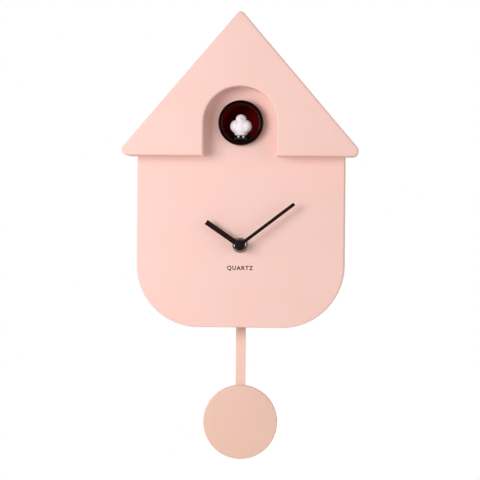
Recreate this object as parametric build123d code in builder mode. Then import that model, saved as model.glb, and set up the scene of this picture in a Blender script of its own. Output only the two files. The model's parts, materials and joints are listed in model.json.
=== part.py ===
from build123d import *

import os
from math import acos, cos, pi, radians, sin, tan

# Wall cuckoo clock: quartz pendulum movement, and a bird pushed out by a small motor, rack and pinion.
# Millimetres. X runs right, Y runs back to the wall, Z runs up, and the front faces -Y.
# The origin is the centre of the wall keyhole's round end, on the plane of the wall.

# ---- driving dimensions ----

AXIS_Z = -150.0  # height of the hands' axis
BODY_WIDTH = 190.0
BODY_BOTTOM = AXIS_Z - 75.6
CORNER_RADIUS = 57.0
EAVES_Z = AXIS_Z + 80.4
APEX_Z = AXIS_Z + 211.6  # where the roof's two slopes would meet
ROOF_ANGLE = radians(40.55)  # between each slope and the vertical
GABLE_GAP = 4.0  # from the roof's slope in to the body's gable
TIP_RADIUS = 5.0
RIDGE_RADIUS = 3.8
SHOULDER_RADIUS = 9.0

ROOF_FRONT = -82.0
ROOF_REAR = -50.0
FACE = -64.0
PARTING = -30.0
WALL = 2.5
EDGE_RADIUS = 1.2
ROOF_EDGE_RADIUS = 1.8
SHELL_DRAFT = 1.5
COVER_DRAFT = 3.0
COVER_INSET = 2.2
COVER_WALL = 2.2
BOND = 0.5  # how far a boss runs into the wall it stands on
FACE_BACK = FACE + WALL

CUCKOO_Z = AXIS_Z + 110.6
ARCH_RADIUS = 33.0
ARCH_Z = CUCKOO_Z - 0.7
RING_OUTER = 20.35
RING_BORE = 17.0
RING_FRONT = -71.0
RING_FLANGE = 24.0
BIRD_TRAVEL = 26.0
BIRD_Y = -63.0
STAND_Z = CUCKOO_Z - 13.5  # top of the bird's stand

BUSHING_RADIUS = 4.0
ARBOR_RADIUS = 1.5
PIPE_RADIUS = 2.5
RUNNING = 0.07  # radial clearance of a shaft in its hole
PRESS_GAP = 0.02  # between pieces pressed together
FREE_GAP = 0.3  # between pieces that only pass each other

PIVOT_Z = AXIS_Z + 15.0
ROD_WIDTH = 9.0
BOB_RADIUS = 34.0
BOB_Z = AXIS_Z - 163.4

CASE_SCREWS = [(-50, -212), (50, -212), (-78, -75), (78, -75), (0, 38)]
ROOF_SCREWS = [(-64, -54), (64, -54), (-13, 20), (13, 20)]
FRAME_SCREWS = [(-16, -71), (16, -71)]
BOARD_SCREWS = [(39, -200), (68.5, -169.5)]
HANGER_SCREWS = [(-9.5, 4), (9.5, 4)]


# ---- shared shapes ----


def facing(y, x=0.0, z=0.0):
    """Sketch plane seen from the front: x runs right, y runs up, and extrusion goes forwards."""
    return Plane(origin=(x, y, z), x_dir=(1, 0, 0), z_dir=(0, -1, 0))


def sideways(x):
    """Sketch plane seen from the right: x runs back, y runs up, and extrusion goes right."""
    return Plane(origin=(x, 0, 0), x_dir=(0, 1, 0), z_dir=(1, 0, 0))


def rounds(plane, radius, length, centres=((0, 0),), mode=Mode.ADD):
    """Adds round bars, or cuts round holes, from the plane along its normal."""
    with BuildSketch(plane) as section:
        with Locations(*centres):
            Circle(radius)
    extrude(section.sketch, amount=length, dir=plane.z_dir, mode=mode)


def block(plane, low, high, length, mode=Mode.ADD):
    """Adds or cuts a block between two opposite corners on the plane, along its normal."""
    middle = ((low[0] + high[0]) / 2, (low[1] + high[1]) / 2)
    with BuildSketch(plane) as section:
        with Locations(middle):
            Rectangle(high[0] - low[0], high[1] - low[1])
    extrude(section.sketch, amount=length, dir=plane.z_dir, mode=mode)


def turned(profile, x=0.0, z=0.0, mode=Mode.ADD):
    """Revolves a profile of (radius, y) points about the line along Y through (x, z)."""
    with BuildSketch(Plane(origin=(x, 0, z), x_dir=(1, 0, 0), z_dir=(0, 0, 1))) as section:
        Polygon(*profile, align=None)
    revolve(section.sketch, axis=Axis((x, 0, z), (0, 1, 0)), mode=mode)


def house(y, inset):
    """Outline of the case, moved inwards by the inset: flat bottom, round lower corners and a gable."""
    half = BODY_WIDTH / 2 - inset
    step = GABLE_GAP + inset
    shoulder = APEX_Z - (half + step / cos(ROOF_ANGLE)) / tan(ROOF_ANGLE)
    apex = APEX_Z - step / sin(ROOF_ANGLE)
    bottom = BODY_BOTTOM + inset
    with BuildSketch(facing(y)) as outline:
        Polygon((-half, bottom), (half, bottom), (half, shoulder), (0, apex), (-half, shoulder), align=None)
        levels = outline.vertices().group_by(Axis.Y)
        fillet(levels[0], CORNER_RADIUS - inset)
        fillet(outline.vertices().sort_by(Axis.Y)[-1], SHOULDER_RADIUS - inset)
        fillet([v for v in outline.vertices() if abs(v.Y - shoulder) < BOND], SHOULDER_RADIUS - inset)
    return outline.sketch


def roof_triangle(y, inset, tip_radius, ridge_radius):
    """Outline of the roof, moved inwards by the inset."""
    base = EAVES_Z + inset
    half = (APEX_Z - base) * tan(ROOF_ANGLE) - inset / cos(ROOF_ANGLE)
    apex = APEX_Z - inset / sin(ROOF_ANGLE)
    with BuildSketch(facing(y)) as outline:
        Polygon((-half, base), (half, base), (0, apex), align=None)
        fillet(outline.vertices().group_by(Axis.Y)[0], tip_radius)
        fillet(outline.vertices().sort_by(Axis.Y)[-1], ridge_radius)
    return outline.sketch


def arch(y, grow):
    """Round-topped opening over the cuckoo's ring, wider by grow and running down past the eaves."""
    radius = ARCH_RADIUS + grow
    foot = EAVES_Z - WALL
    with BuildSketch(facing(y)) as outline:
        with Locations((0, ARCH_Z)):
            Circle(radius)
        with Locations((0, (ARCH_Z + foot) / 2)):
            Rectangle(2 * radius, ARCH_Z - foot)
    return outline.sketch


FORWARD = (0, -1, 0)

# ---- gears ----

PRESSURE = radians(20)
ADDENDUM = 0.85  # in modules
DEDENDUM = 1.3
TOOTH_SHARE = 0.84  # of the half pitch, which leaves the rest as backlash
FLANK_STEPS = 4


def spread(angle):
    """Involute function of an angle."""
    return tan(angle) - angle


def gear_points(module, teeth, phase, centre):
    """Corners of a spur gear with involute flanks, one tooth centred on the phase angle in degrees."""
    pitch = module * teeth / 2
    base = pitch * cos(PRESSURE)
    tip = pitch + ADDENDUM * module
    root = pitch - DEDENDUM * module
    start = max(base, root)
    half_tooth = TOOTH_SHARE * pi / (2 * teeth)
    flank = []
    for step in range(FLANK_STEPS + 1):
        radius = start + (tip - start) * step / FLANK_STEPS
        flank.append((radius, half_tooth + spread(PRESSURE) - spread(acos(base / radius))))
    if root < base:
        flank.insert(0, (root, flank[0][1]))
    points = []
    for tooth in range(teeth):
        middle = radians(phase) + 2 * pi * tooth / teeth
        for radius, half in flank:
            points.append((radius, middle - half))
        for radius, half in reversed(flank):
            points.append((radius, middle + half))
    return [(centre[0] + r * cos(a), centre[1] + r * sin(a)) for r, a in points]


def gear(plane, module, teeth, phase, width, centre=(0, 0)):
    """Adds a spur gear from the plane along its normal."""
    with BuildSketch(plane) as section:
        Polygon(*gear_points(module, teeth, phase, centre), align=None)
    extrude(section.sketch, amount=width, dir=plane.z_dir)


def around(centre, distance, angle):
    """Point at a distance and an angle in degrees from a centre."""
    return (centre[0] + distance * cos(radians(angle)), centre[1] + distance * sin(radians(angle)))


def around_point(centre, half_width, half_height):
    """Two opposite corners of a rectangle about a centre."""
    x, z = centre
    return (x - half_width, z - half_height), (x + half_width, z + half_height)


pieces = {}


def save(piece, name):
    """Labels a finished piece and keeps it for writing."""
    piece.part.label = name
    pieces[name] = piece


# ---- case ----

with BuildPart() as dial_shell:
    extrude(house(PARTING, 0), amount=PARTING - FACE, dir=FORWARD, taper=SHELL_DRAFT)
    fillet(dial_shell.faces().sort_by(Axis.Y)[0].edges(), EDGE_RADIUS)
    shell_depth = PARTING - FACE_BACK
    extrude(house(PARTING, WALL), amount=shell_depth, dir=FORWARD, taper=SHELL_DRAFT, mode=Mode.SUBTRACT)
    boss_length = PARTING - 1 - FACE_BACK + BOND
    rounds(facing(PARTING - 1), 4.0, boss_length, CASE_SCREWS)
    rounds(facing(PARTING - 1), 1.5, 15, CASE_SCREWS, Mode.SUBTRACT)
    rounds(facing(-58), 3.0, -58 - FACE_BACK + BOND, FRAME_SCREWS)
    rounds(facing(-58), 1.25, 4.5, FRAME_SCREWS, Mode.SUBTRACT)
    rounds(facing(FACE_BACK + 1), 1.6, WALL + 2, ROOF_SCREWS, Mode.SUBTRACT)
    rounds(facing(FACE_BACK + 1), BUSHING_RADIUS + 0.2, WALL + 2, [(0, AXIS_Z)], Mode.SUBTRACT)
    rounds(facing(FACE_BACK + 1), RING_OUTER + 0.15, WALL + 2, [(0, CUCKOO_Z)], Mode.SUBTRACT)
    block(Plane.XY.offset(BODY_BOTTOM - 1), (-17, -43), (17, -34), WALL + 2, Mode.SUBTRACT)
    rounds(Plane.XY.offset(BODY_BOTTOM - 1), 2.6, WALL + 2, [(30, -47)], Mode.SUBTRACT)
save(dial_shell, "dial_shell")

with BuildPart() as roof_shell:
    roof_depth = ROOF_REAR - ROOF_FRONT
    extrude(roof_triangle(ROOF_REAR, 0, TIP_RADIUS, RIDGE_RADIUS), amount=roof_depth, dir=FORWARD)
    extrude(arch(ROOF_REAR, 0), amount=roof_depth, dir=FORWARD, mode=Mode.SUBTRACT)
    fillet(roof_shell.faces().sort_by(Axis.Y)[0].edges(), ROOF_EDGE_RADIUS)
    cavity = roof_triangle(ROOF_REAR, WALL, TIP_RADIUS - WALL, RIDGE_RADIUS - WALL) - arch(ROOF_REAR, WALL)
    extrude(cavity, amount=roof_depth - WALL, dir=FORWARD, mode=Mode.SUBTRACT)
    extrude(house(ROOF_REAR, -0.3), amount=ROOF_REAR - FACE, dir=FORWARD, mode=Mode.SUBTRACT)
    rounds(facing(FACE), 3.5, FACE - ROOF_FRONT - WALL + BOND, ROOF_SCREWS)
    rounds(facing(FACE), 1.25, 11, ROOF_SCREWS, Mode.SUBTRACT)
save(roof_shell, "roof_shell")

BOX_LEFT, BOX_RIGHT = -85.5, -31.0  # inside of the battery box
BOX_LOW, BOX_HIGH = -181.5, -101.5
BOX_FLOOR = -29.0
BOX_WALL = 1.5
SPEAKER_X, SPEAKER_Z = 58.0, -122.0
SPEAKER_RADIUS = 25.0
PANEL_LOW, PANEL_HIGH = (38.5, -199.5), (69, -168.5)  # recess for the sound controls
PANEL_FLOOR = -4.5
VOLUME_AT = (59, -187)
SWITCH_AT = (46, -176)
BUTTON_AT = (46, -193)
HEAD_SEAT = -26.0  # where the case screws' heads rest
BOARD_BACK = -12.4
BOARD_THICK = 1.6
FRAME_FLANGE = -56.0
HANGER_THICK = 1.5
HANGER_LOW, HANGER_HIGH = (-14, -12), (14, 18)

with BuildPart() as rear_cover:
    extrude(house(PARTING, COVER_INSET), amount=-PARTING, dir=(0, 1, 0), taper=COVER_DRAFT)
    fillet(rear_cover.faces().sort_by(Axis.Y)[-1].edges(), 2.0)
    hollow_depth = -PARTING - COVER_WALL
    inner = COVER_INSET + COVER_WALL
    extrude(house(PARTING, inner), amount=hollow_depth, dir=(0, 1, 0), taper=COVER_DRAFT, mode=Mode.SUBTRACT)
    # locating lip inside the front shell
    extrude(house(PARTING, WALL + FREE_GAP) - house(PARTING, inner), amount=3, dir=FORWARD)
    # battery box, open to the back
    box_low = (BOX_LEFT - BOX_WALL, BOX_LOW - BOX_WALL)
    box_high = (BOX_RIGHT + BOX_WALL, BOX_HIGH + BOX_WALL)
    block(facing(-1), box_low, box_high, -1 - BOX_FLOOR + BOX_WALL)
    block(facing(1), (BOX_LEFT, BOX_LOW), (BOX_RIGHT, BOX_HIGH), 1 - BOX_FLOOR, Mode.SUBTRACT)
    # opening over the movement
    block(facing(1), (-27.5, -184), (27.5, -118), COVER_WALL + 2, Mode.SUBTRACT)
    # speaker: holes through the back and a collar inside
    grille = [(SPEAKER_X, SPEAKER_Z)]
    for ring in (1, 2, 3):
        for hole in range(6 * ring):
            grille.append(around((SPEAKER_X, SPEAKER_Z), 6.2 * ring, hole * 60 / ring))
    rounds(facing(1), 1.6, COVER_WALL + 2, grille, Mode.SUBTRACT)
    collar = [(SPEAKER_RADIUS + 0.2, -COVER_WALL + BOND), (SPEAKER_RADIUS + 0.2, -8)]
    collar += [(SPEAKER_RADIUS + 1.7, -8), (SPEAKER_RADIUS + 1.7, -COVER_WALL + BOND)]
    turned(collar, SPEAKER_X, SPEAKER_Z)
    # recessed panel for the sound controls
    panel_out = (PANEL_LOW[0] - 2, PANEL_LOW[1] - 2)
    block(facing(-1), panel_out, (PANEL_HIGH[0] + 2, PANEL_HIGH[1] + 2), -PANEL_FLOOR + 1)
    block(facing(1), PANEL_LOW, PANEL_HIGH, 1 - PANEL_FLOOR, Mode.SUBTRACT)
    rounds(facing(0), 7.3, 9, [VOLUME_AT], Mode.SUBTRACT)
    rounds(facing(0), 3.8, 9, [BUTTON_AT], Mode.SUBTRACT)
    slot_low, slot_high = around_point(SWITCH_AT, 5, 2)
    block(facing(0), slot_low, slot_high, 9, Mode.SUBTRACT)
    rounds(facing(PANEL_FLOOR - 1), 2.5, PANEL_FLOOR - 1 - BOARD_BACK, BOARD_SCREWS)
    rounds(facing(-7.5), 1.25, 6, BOARD_SCREWS, Mode.SUBTRACT)
    # pad behind the hanger, with a pocket for the wall screw's head
    block(facing(-1), (-17, -15), (17, 21), 4.5)
    block(facing(1), HANGER_LOW, HANGER_HIGH, 1 + HANGER_THICK, Mode.SUBTRACT)
    block(facing(0), (-6, -6.5), (6, 14), 8, Mode.SUBTRACT)
    rounds(facing(-1), 1.1, 4, HANGER_SCREWS, Mode.SUBTRACT)
    # sunk screw holes
    rounds(facing(-1), 5.0, -1 - PARTING + 0.6, CASE_SCREWS)
    rounds(facing(1), 3.5, 1 - HEAD_SEAT, CASE_SCREWS, Mode.SUBTRACT)
    rounds(facing(HEAD_SEAT + 1), 1.8, 8, CASE_SCREWS, Mode.SUBTRACT)
save(rear_cover, "rear_cover")

with BuildPart() as battery_door:
    door_low = (BOX_LEFT + FREE_GAP, BOX_LOW + FREE_GAP)
    door_high = (BOX_RIGHT - FREE_GAP, BOX_HIGH - FREE_GAP)
    block(facing(0), door_low, door_high, 1.8)
    # finger notch and grip ribs
    block(facing(0), (-63, BOX_LOW), (-53, BOX_LOW + 5), 1, Mode.SUBTRACT)
    for rib in range(5):
        height = BOX_LOW + 8 + 2.5 * rib
        block(facing(0), (-66, height), (-50, height + 1.2), 0.5, Mode.SUBTRACT)
save(battery_door, "battery_door")

KEYHOLE_RADIUS = 4.5

with BuildPart() as hanger_plate:
    plate_low = (HANGER_LOW[0] + 0.1, HANGER_LOW[1] + 0.1)
    plate_high = (HANGER_HIGH[0] - 0.1, HANGER_HIGH[1] - 0.1)
    block(facing(0), plate_low, plate_high, HANGER_THICK)
    rounds(facing(0), KEYHOLE_RADIUS, HANGER_THICK, [(0, 0)], Mode.SUBTRACT)
    block(facing(0), (-2.2, 0), (2.2, 10), HANGER_THICK, Mode.SUBTRACT)
    rounds(facing(0), 2.2, HANGER_THICK, [(0, 10)], Mode.SUBTRACT)
    rounds(facing(0), 2.4, HANGER_THICK, HANGER_SCREWS, Mode.SUBTRACT)
save(hanger_plate, "hanger_plate")


def screws(seat, centres, shank, length, head, head_height, direction):
    """Adds cross-slot screws: the head stands on the seat and the shank runs in the direction along Y."""
    for x, z in centres:
        top = seat - direction * head_height
        tip = seat + direction * length
        profile = [(0, top), (head * 0.7, top), (head, seat - direction * 0.4 * head_height), (head, seat)]
        profile += [(shank, seat), (shank, tip - direction * shank), (0, tip)]
        turned(profile, x, z)
        for wide, tall in ((head * 0.6, 0.35), (0.35, head * 0.6)):
            start = facing(top + (0.01 if direction < 0 else 0.9))
            block(start, (x - wide, z - tall), (x + wide, z + tall), 0.9, Mode.SUBTRACT)


with BuildPart() as case_screws:
    screws(HEAD_SEAT, CASE_SCREWS, 1.4, 16, 3.0, 2.2, -1)
save(case_screws, "case_screws")

with BuildPart() as hanger_screws:
    screws(-0.9, HANGER_SCREWS, 1.0, 3.5, 2.2, 0.9, -1)
save(hanger_screws, "hanger_screws")

with BuildPart() as inner_screws:
    screws(FACE_BACK, ROOF_SCREWS, 1.15, 11, 2.6, 1.9, -1)
    screws(FRAME_FLANGE, FRAME_SCREWS, 1.15, 4.5, 2.6, 1.9, -1)
    screws(BOARD_BACK - BOARD_THICK, BOARD_SCREWS, 1.15, 4.5, 2.6, 1.9, 1)
save(inner_screws, "inner_screws")

# ---- cuckoo ----

TUNNEL_OUTER = 18.9
TUNNEL_END = -24.0
RACK_PITCH_Z = CUCKOO_Z - 16.0
DRIVE_MODULE = 0.5
RACK_PINION_TEETH = 24
REDUCTION_TEETH = 50
MOTOR_TEETH = 10
DRIVE_Y = -42.0
PINION_Z = RACK_PITCH_Z - DRIVE_MODULE * RACK_PINION_TEETH / 2
MOTOR_Z = PINION_Z - DRIVE_MODULE * (REDUCTION_TEETH + MOTOR_TEETH) / 2
STAND_BOTTOM = RACK_PITCH_Z + DEDENDUM * DRIVE_MODULE
RAIL_GAP = 0.1
GEAR_X = 19.4  # left face of the reduction gear
STAND_FRONT = -70.0
STAND_BACK = -8.0

with BuildPart() as cuckoo_ring:
    ring = [(RING_BORE, -60), (RING_FLANGE, -60), (RING_FLANGE, FACE_BACK), (RING_OUTER, FACE_BACK)]
    ring += [(RING_OUTER, RING_FRONT), (RING_BORE, RING_FRONT)]
    turned(ring, 0, CUCKOO_Z)
    fillet(cuckoo_ring.edges().group_by(Axis.Y)[0], 0.6)
save(cuckoo_ring, "cuckoo_ring")

with BuildPart() as bird_tunnel:
    tunnel = [(RING_BORE, -60), (RING_FLANGE, -60), (RING_FLANGE, -58.5), (TUNNEL_OUTER, -58.5)]
    tunnel += [(TUNNEL_OUTER, TUNNEL_END + 1.5), (0, TUNNEL_END + 1.5), (0, TUNNEL_END)]
    tunnel += [(RING_BORE, TUNNEL_END)]
    turned(tunnel, 0, CUCKOO_Z)
    # slot underneath for the rails and the carriage
    slot_length = TUNNEL_END + 60.5
    block(facing(TUNNEL_END + 2), (-12.3, CUCKOO_Z - 20), (12.3, CUCKOO_Z - 11.1), slot_length, Mode.SUBTRACT)
save(bird_tunnel, "bird_tunnel")

with BuildPart() as cuckoo_frame:
    rail_top = STAND_Z + RAIL_GAP + 1.5
    rail_foot = STAND_BOTTOM - RAIL_GAP - 1.5
    frame_foot = MOTOR_Z - 10
    for side in (-1, 1):
        near, far = sorted((side * 10, side * 12))
        shelf_near, shelf_far = sorted((side * 8, side * 10))
        block(facing(-6), (near, rail_foot), (far, rail_top), 50)
        block(facing(-30), (near, frame_foot), (far, rail_top), 26)
        block(facing(-6), (shelf_near, rail_foot), (shelf_far, STAND_BOTTOM - RAIL_GAP), 50)
        block(facing(-6), (shelf_near, STAND_Z + RAIL_GAP), (shelf_far, rail_top), 50)
        flange_near, flange_far = sorted((side * 10, side * 19))
        block(facing(FRAME_FLANGE), (flange_near, -76), (flange_far, -66), 2)
    block(facing(-30), (-12, frame_foot), (12, frame_foot + 1.6), 26)
    block(facing(-54), (-12, frame_foot), (12, -66), 1.5)
    rounds(facing(FRAME_FLANGE), 1.6, 3, FRAME_SCREWS, Mode.SUBTRACT)
    rounds(sideways(12), 2.6, 6.6, [(DRIVE_Y, PINION_Z)])
    rounds(sideways(-13), 1.0 + RUNNING, 32, [(DRIVE_Y, PINION_Z)], Mode.SUBTRACT)
    rounds(sideways(9), 3.0, 4, [(DRIVE_Y, MOTOR_Z)], Mode.SUBTRACT)
save(cuckoo_frame, "cuckoo_frame")

with BuildPart() as cuckoo_motor:
    with BuildSketch(sideways(-9.4)) as motor_section:
        with Locations((DRIVE_Y, MOTOR_Z)):
            Circle(7.8)
            Rectangle(12.4, 20, mode=Mode.INTERSECT)
    extrude(motor_section.sketch, amount=19.2, dir=(1, 0, 0))
    rounds(sideways(9.8), 2.9, 2.4, [(DRIVE_Y, MOTOR_Z)])
    rounds(sideways(-6), 0.75 + RUNNING, 20, [(DRIVE_Y, MOTOR_Z)], Mode.SUBTRACT)
save(cuckoo_motor, "cuckoo_motor")

with BuildPart() as pinion_shaft:
    rounds(sideways(-12.6), 1.0, 35.2, [(DRIVE_Y, PINION_Z)])
save(pinion_shaft, "pinion_shaft")

with BuildPart() as rack_pinion:
    gear(sideways(-2), DRIVE_MODULE, RACK_PINION_TEETH, 90, 4, (DRIVE_Y, PINION_Z))
    rounds(sideways(-5), 3.2, 10, [(DRIVE_Y, PINION_Z)])
    rounds(sideways(-6), 1.0 + PRESS_GAP, 12, [(DRIVE_Y, PINION_Z)], Mode.SUBTRACT)
save(rack_pinion, "rack_pinion")

with BuildPart() as reduction_gear:
    gear(sideways(GEAR_X), DRIVE_MODULE, REDUCTION_TEETH, -90, 2, (DRIVE_Y, PINION_Z))
    rounds(sideways(GEAR_X - 0.4), 2.4, 3.4, [(DRIVE_Y, PINION_Z)])
    lightening = [around((DRIVE_Y, PINION_Z), 7.2, 36 + 72 * hole) for hole in range(5)]
    rounds(sideways(GEAR_X - 1), 2.4, 4, lightening, Mode.SUBTRACT)
    rounds(sideways(GEAR_X - 1), 1.0 + PRESS_GAP, 6, [(DRIVE_Y, PINION_Z)], Mode.SUBTRACT)
save(reduction_gear, "reduction_gear")

with BuildPart() as motor_pinion:
    gear(sideways(GEAR_X - 0.5), DRIVE_MODULE, MOTOR_TEETH, 90 + 180 / MOTOR_TEETH, 3, (DRIVE_Y, MOTOR_Z))
    rounds(sideways(-5), 0.75, GEAR_X + 5, [(DRIVE_Y, MOTOR_Z)])
save(motor_pinion, "motor_pinion")

RACK_TEETH = 21
RACK_STEP = pi * DRIVE_MODULE

with BuildPart() as bird_carriage:
    block(facing(-28), (-6, STAND_BOTTOM), (6, STAND_Z), -28 - STAND_FRONT)
    # step behind the bird's legs
    block(facing(-45), (-6, STAND_Z), (6, STAND_Z + 3.6), 11)
    block(facing(STAND_BACK), (-9.9, STAND_BOTTOM), (9.9, STAND_Z), STAND_BACK + 28)
    with BuildSketch(sideways(-2.5)) as rack:
        half_tooth = TOOTH_SHARE * RACK_STEP / 4
        out = ADDENDUM * DRIVE_MODULE
        down = DEDENDUM * DRIVE_MODULE + 0.2
        for tooth in range(RACK_TEETH):
            middle = DRIVE_Y + RACK_STEP * (tooth - 1.5)
            crest = half_tooth - out * tan(PRESSURE)
            foot = half_tooth + down * tan(PRESSURE)
            Polygon(
                (middle - foot, RACK_PITCH_Z + down),
                (middle + foot, RACK_PITCH_Z + down),
                (middle + crest, RACK_PITCH_Z - out),
                (middle - crest, RACK_PITCH_Z - out),
                align=None,
            )
    extrude(rack.sketch, amount=5, dir=(1, 0, 0))
save(bird_carriage, "bird_carriage")

HEAD_TOP = CUCKOO_Z + 8.2
BODY_END = CUCKOO_Z - 11.0
WING_AT = (5.1, CUCKOO_Z - 3.2)
WING_RADIUS, WING_HALF_HEIGHT = 4.9, 6.1

with BuildPart() as bird:
    with BuildSketch(facing(BIRD_Y, 0, CUCKOO_Z)) as body:
        with BuildLine():
            top, end = HEAD_TOP - CUCKOO_Z, BODY_END - CUCKOO_Z
            side_points = [(0, top), (3.4, 7.2), (4.9, 4.6), (5.4, 2.0), (6.9, -2.5), (7.1, -6.5), (5.2, end)]
            Spline(*side_points, tangents=((1, 0), (-0.5, -1)))
            Polyline((5.2, end), (0, end), (0, top))
        make_face()
    revolve(body.sketch, axis=Axis((0, BIRD_Y, 0), (0, 0, 1)))
    for side in (-1, 1):
        wing_x = side * WING_AT[0]
        with BuildSketch(facing(BIRD_Y, wing_x, WING_AT[1])) as wing:
            Ellipse(WING_RADIUS, WING_HALF_HEIGHT)
            with Locations((-WING_RADIUS, 0)):
                Rectangle(2 * WING_RADIUS, 3 * WING_HALF_HEIGHT, mode=Mode.SUBTRACT)
        revolve(wing.sketch, axis=Axis((wing_x, BIRD_Y, 0), (0, 0, 1)))
    # tail and beak
    with BuildSketch(sideways(-3)) as tail:
        Polygon(
            (BIRD_Y + 3, CUCKOO_Z + 2),
            (BIRD_Y + 17, CUCKOO_Z - 1.5),
            (BIRD_Y + 17, CUCKOO_Z - 3.2),
            (BIRD_Y + 3, CUCKOO_Z - 9),
            align=None,
        )
    extrude(tail.sketch, amount=6, dir=(1, 0, 0))
    turned([(0, BIRD_Y - 4), (1.3, BIRD_Y - 4), (0, BIRD_Y - 7.4)], 0, CUCKOO_Z + 4.2)
    rounds(Plane.XY.offset(STAND_Z), 1.0, 5, [(-2.25, BIRD_Y), (2.25, BIRD_Y)])
save(bird, "bird")

# ---- sound ----

with BuildPart() as speaker_basket:
    basket = [(22.5, -2.4), (SPEAKER_RADIUS, -2.4), (SPEAKER_RADIUS, -4.2), (22.6, -4.2), (11, -14)]
    basket += [(9, -14), (9, -13), (21.2, -3.6), (22.5, -3.6)]
    turned(basket, SPEAKER_X, SPEAKER_Z)
save(speaker_basket, "speaker_basket")

with BuildPart() as speaker_cone:
    cone = [(22.2, -2.6), (22.2, -3.2), (20, -3.2), (8, -11.5)]
    cone += [(0, -10), (0, -9.6), (8, -10.9), (19.8, -2.6)]
    turned(cone, SPEAKER_X, SPEAKER_Z)
save(speaker_cone, "speaker_cone")

with BuildPart() as speaker_magnet:
    magnet = [(0, -13.2), (8.9, -13.2), (8.9, -14.1), (12.5, -14.1), (12.5, -20), (0, -20)]
    turned(magnet, SPEAKER_X, SPEAKER_Z)
save(speaker_magnet, "speaker_magnet")

with BuildPart() as sound_board:
    block(facing(BOARD_BACK), (36, -205), (72, -167.5), BOARD_THICK)
    rounds(facing(BOARD_BACK + 1), 1.4, 4, BOARD_SCREWS, Mode.SUBTRACT)
save(sound_board, "sound_board")

with BuildPart() as sound_chip:
    board_front = BOARD_BACK - BOARD_THICK
    turned([(0, board_front), (5, board_front), (4, -15.4), (1.5, -16), (0, -16)], 54, -184)
save(sound_chip, "sound_chip")

with BuildPart() as volume_pot:
    rounds(facing(BOARD_BACK + 4), 6.0, 4, [VOLUME_AT])
    rounds(facing(BOARD_BACK + 5), 1.6 + RUNNING, 4, [VOLUME_AT], Mode.SUBTRACT)
save(volume_pot, "volume_pot")

with BuildPart() as volume_knob:
    rounds(facing(-0.6), 7.0, 6.4, [VOLUME_AT])
    fillet(volume_knob.faces().sort_by(Axis.Y)[-1].edges(), 0.6)
    flutes = [around(VOLUME_AT, 7.5, 15 * flute) for flute in range(24)]
    rounds(facing(0), 0.75, 8, flutes, Mode.SUBTRACT)
    # pointer
    x, z = VOLUME_AT
    block(facing(0), (x - 0.5, z + 1), (x + 0.5, z + 6), 1.1, Mode.SUBTRACT)
    rounds(facing(-7), 1.6, 4, [VOLUME_AT])
save(volume_knob, "volume_knob")

with BuildPart() as mode_switch_body:
    low, high = around_point(SWITCH_AT, 5.5, 3)
    block(facing(BOARD_BACK + 4), low, high, 4)
    low, high = around_point(SWITCH_AT, 4.5, 1.7)
    block(facing(BOARD_BACK + 5), low, high, 4, Mode.SUBTRACT)
save(mode_switch_body, "mode_switch_body")

with BuildPart() as mode_switch_knob:
    low, high = (SWITCH_AT[0] - 4.2, SWITCH_AT[1] - 1.4), (SWITCH_AT[0] - 0.2, SWITCH_AT[1] + 1.4)
    block(facing(-2.2), low, high, 8.8)
    for rib in range(3):
        left = low[0] + 0.6 + 1.1 * rib
        block(facing(-2), (left, low[1] - 1), (left + 0.5, high[1] + 1), 0.6, Mode.SUBTRACT)
save(mode_switch_knob, "mode_switch_knob")

with BuildPart() as test_button:
    rounds(facing(-2.5), 3.5, 3.4, [BUTTON_AT])
    fillet(test_button.faces().sort_by(Axis.Y)[-1].edges(), 0.5)
    rounds(facing(-5), 1.4, 5.9, [BUTTON_AT])
save(test_button, "test_button")

with BuildPart() as light_sensor:
    with BuildSketch(Plane(origin=(30, -47, 0), x_dir=(1, 0, 0), z_dir=(0, -1, 0))) as sensor:
        with BuildLine():
            seat = BODY_BOTTOM + WALL + 0.6
            Polyline((0, seat + 3), (3, seat + 3), (3, seat), (2.4, seat), (2.4, BODY_BOTTOM + 1.2))
            Spline((2.4, BODY_BOTTOM + 1.2), (1.5, BODY_BOTTOM + 0.7), (0, BODY_BOTTOM + 0.5))
            Line((0, BODY_BOTTOM + 0.5), (0, seat + 3))
        make_face()
    revolve(sensor.sketch, axis=Axis((30, -47, 0), (0, 0, 1)))
save(light_sensor, "light_sensor")

CELL_PITCH = 26.7
CELL_RADIUS = 13.1
CELL_Y = -15.5
CELL_ROWS = [(BOX_LOW + BOX_HIGH) / 2 + CELL_PITCH * row for row in (-1, 0, 1)]


def cell(row_z, y, radius, left, right, nub_radius, nub_end):
    """Adds a dry cell lying along X, with its nub on the right."""
    rounds(sideways(left), radius, right - left, [(y, row_z)])
    rounds(sideways(right), nub_radius, nub_end - right, [(y, row_z)])


def contacts(row_z, y, left, right, spring, nub_end):
    """Adds the two plates and the spring of a cell's contacts."""
    block(sideways(left), (y - 5, row_z - 5), (y + 5, row_z + 5), 0.4)
    block(sideways(right - 0.4), (y - 5, row_z - 5), (y + 5, row_z + 5), 0.4)
    rounds(sideways(left + 0.4), 4, spring - left - 0.4, [(y, row_z)])
    rounds(sideways(left + 0.4), 3.2, spring - left - 0.4, [(y, row_z)], Mode.SUBTRACT)


with BuildPart() as c_cells:
    for row in CELL_ROWS:
        cell(row, CELL_Y, CELL_RADIUS, -82, -33, 3.2, BOX_RIGHT - 0.4)
save(c_cells, "c_cells")

with BuildPart() as cell_contacts:
    for row in CELL_ROWS:
        contacts(row, CELL_Y, BOX_LEFT, BOX_RIGHT, -82, BOX_RIGHT - 0.4)
save(cell_contacts, "cell_contacts")

# ---- movement ----

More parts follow.
